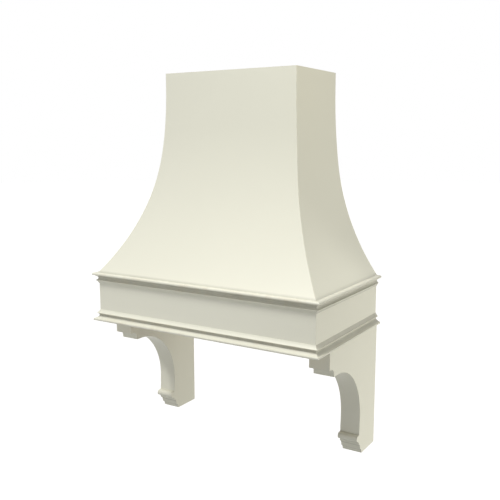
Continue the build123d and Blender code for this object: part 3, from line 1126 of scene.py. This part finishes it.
def addScrew(bm, point, outward, size):
    # countersunk screw; point is the middle of its head and outward the way the head looks
    look = screwLook
    head, shank, coneDepth, length = size
    arm, waist, depth = [part * head for part in look["recess"]]
    corners = [(arm, waist), (waist, waist), (waist, arm)]
    for quarter in range(3):
        corners += [(-y, x) for x, y in corners[-3:]]
    screw = bmesh.new()
    drawOutline(screw, corners[-1], [(corner,) for corner in corners], 1)
    crossEdges = screw.edges[:]
    bmesh.ops.create_circle(screw, segments=look["segments"], radius=head)
    rimEdges = [edge for edge in screw.edges if edge not in crossEdges]
    bmesh.ops.triangle_fill(screw, use_beauty=True, edges=screw.edges[:], normal=(0, 0, 1))
    verts, edges = extrudeLoop(screw, crossEdges)
    bmesh.ops.translate(screw, vec=(0, 0, -depth), verts=verts)
    bmesh.ops.scale(screw, vec=(look["recessTaper"], look["recessTaper"], 1), verts=verts)
    bmesh.ops.contextual_create(screw, geom=edges)
    for below in (coneDepth, length):
        verts, rimEdges = extrudeLoop(screw, rimEdges)
        for vert in verts:
            vert.co.xy = vert.co.xy.normalized() * shank
            vert.co.z = -below
    bmesh.ops.contextual_create(screw, geom=rimEdges)
    turn = Vector(outward).to_track_quat("Z", "Y").to_matrix().to_4x4()
    bmesh.ops.transform(screw, matrix=Matrix.Translation(point) @ turn, verts=screw.verts)
    joinTo(bm, screw)


def makePlates():
    low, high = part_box("keyhole_plates")
    plates, screws = bmesh.new(), bmesh.new()
    for hand in (1, -1):
        across = hand * (high.x - bracketLook["seat"][0] * mm / 2)
        addPlate(plates, across, low, high)
        for rise in (-plateLook["screwSpread"], plateLook["screwSpread"]):
            point = (across, -screwLook["sunk"], (low.z + high.z) / 2 + rise)
            addScrew(screws, point, (0, 1, 0), screwLook["plate"])
    piece = finishMetal(plates, "keyhole_plates_finished")
    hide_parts("keyhole_plates")
    finishMetal(screws, "keyhole_plate_screws")


def makeRibScrews():
    # driven up through the sill rails into the feet of the ribs
    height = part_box("sill_rail_front")[0].z - screwLook["sunk"]
    fromEdge = 50 * mm              # in from the outside of the frieze
    sideLine, frontLine = bandHalf - fromEdge, fromEdge - bandDepth
    places = [(x, frontLine) for x in (-sideLine, -ribLines["front"], 0, ribLines["front"], sideLine)]
    places += [(hand * sideLine, ribLines[rib]) for hand in (1, -1) for rib in ("side", "back")]
    bm = bmesh.new()
    for place in places:
        addScrew(bm, (*place, height), (0, 0, -1), screwLook["rib"])
    finishMetal(bm, "rib_foot_screws")


makePlates()
makeRibScrews()
print("keyhole plates and screws")


# Camera, light and floor

cameraLook = {
    "place": (1.3848, -2.3976, 0.5787),
    "pitchDown": 8.829,
    "turnLeft": 31.697,
    "lens": 49.841,
    "sensor": 36.0,
}


def makeCamera():
    data = bpy.data.cameras.new("camera")
    data.lens = cameraLook["lens"]
    data.sensor_width = cameraLook["sensor"]
    pitch, turn = (math.radians(angle) for angle in (90 - cameraLook["pitchDown"], cameraLook["turnLeft"]))
    camera = bpy.data.objects.new("camera", data)
    camera.location = cameraLook["place"]
    camera.rotation_euler = (pitch, 0, turn)
    bpy.context.scene.collection.objects.link(camera)
    bpy.context.scene.camera = camera


floorLook = {
    "height": -1.75,                # the kitchen floor, with the band's foot about 1.65 m above it
    "radius": 40.0,
    "segments": 96,
    "roughness": 0.9,
    "seenColour": (0.86, 0.86, 0.86, 1),
    "bounceColour": (0.35, 0.35, 0.34, 1),  # kept lower for bounced light, so the undersides stay in shade
    "cameraGlow": 0.36,             # makes up the difference to white where the camera sees the floor
}


def makeFloor():
    bm = bmesh.new()
    bmesh.ops.create_circle(bm, cap_ends=True, segments=floorLook["segments"], radius=floorLook["radius"])
    bmesh.ops.translate(bm, vec=(0, 0, floorLook["height"]), verts=bm.verts)
    mesh = bpy.data.meshes.new("studio_floor_mesh")
    bm.to_mesh(mesh)
    bm.free()
    floor = bpy.data.objects.new("studio_floor", mesh)
    bpy.context.scene.collection.objects.link(floor)
    material = bpy.data.materials.new("paleFloor")
    material.use_nodes = True
    tree = material.node_tree
    shader = tree.nodes["Principled BSDF"].inputs
    shader["Roughness"].default_value = floorLook["roughness"]
    shader["Specular IOR Level"].default_value = 0.0
    shader["Emission Color"].default_value = (1, 1, 1, 1)
    seen = backgroundRays(tree)
    feed(tree, shader["Base Color"], blend(tree, seen, floorLook["bounceColour"], floorLook["seenColour"]))
    feed(tree, shader["Emission Strength"], maths(tree, "MULTIPLY", seen, floorLook["cameraGlow"]))
    mesh.materials.append(material)
    floor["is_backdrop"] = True


def backgroundRays(tree):
    # 1 for the rays that should meet a plain white background: camera, gloss and glass
    rays = tree.nodes.new("ShaderNodeLightPath").outputs
    seen = maths(tree, "MAXIMUM", rays["Is Camera Ray"], rays["Is Glossy Ray"])
    return maths(tree, "MAXIMUM", seen, rays["Is Transmission Ray"])


worldLook = {"light": 0.35, "background": 1.0}


def makeWorld():
    # a little even light from all round, and plain white where the background is seen
    world = bpy.data.worlds.new("studio")
    bpy.context.scene.world = world
    world.use_nodes = True
    tree = world.node_tree
    background = tree.nodes["Background"].inputs
    background["Color"].default_value = (1, 1, 1, 1)
    strength = spread(tree, backgroundRays(tree), 0.0, 1.0, worldLook["light"], worldLook["background"])
    feed(tree, background["Strength"], strength)


# bearing is degrees to the right of straight in front, climb degrees above level
keyLook = {
    "bearing": -35, "climb": 65, "from": (0, 0, 0), "distance": 4.0, "softness": 12, "strength": 1.72,
    "colour": (1, 0.985, 0.96)}
softBoxes = {
    "box_above_front": {
        "bearing": 10, "climb": 40, "from": (0.05, -0.2, 0.62), "distance": 1.7, "size": 1.0, "power": 10.8,
        "colour": (1, 1, 1)},
    "box_top_right": {
        "bearing": 80, "climb": 25, "from": (0.1, -0.2, 0.8), "distance": 1.0, "size": 0.5, "power": 1.4,
        "colour": (1, 0.89, 0.60)},
    "low_fill_right": {
        "bearing": 110, "climb": -18, "from": (0, 0, 0), "distance": 2.8, "size": 1.4, "power": 27.7,
        "colour": (1, 0.97, 0.86)},
    "low_fill_left": {
        "bearing": -30, "climb": -18, "from": (0, 0, 0), "distance": 2.8, "size": 1.4, "power": 7.6,
        "colour": (1, 1, 1)},
}


def towards(bearing, climb):
    across, up = math.radians(bearing), math.radians(climb)
    return Vector((math.sin(across) * math.cos(up), -math.cos(across) * math.cos(up), math.sin(up)))


def addLamp(name, kind, look):
    # stands at its distance from a point of the hood and looks back at it
    data = bpy.data.lights.new(name, kind)
    data.color = look["colour"]
    lamp = bpy.data.objects.new(name, data)
    way = towards(look["bearing"], look["climb"])
    lamp.location = Vector(look["from"]) + way * look["distance"]
    lamp.rotation_euler = way.to_track_quat("Z", "Y").to_euler()
    bpy.context.scene.collection.objects.link(lamp)
    return data


def makeLamps():
    key = addLamp("key", "SUN", keyLook)
    key.angle = math.radians(keyLook["softness"])
    key.energy = keyLook["strength"]
    for name, look in softBoxes.items():
        box = addLamp(name, "AREA", look)
        box.size = look["size"]
        box.energy = look["power"]


makeCamera()
makeFloor()
makeWorld()
makeLamps()
bpy.context.scene.view_settings.view_transform = "Standard"

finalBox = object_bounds()
[[list(corner) for corner in box] for box in (cadBox, finalBox)]
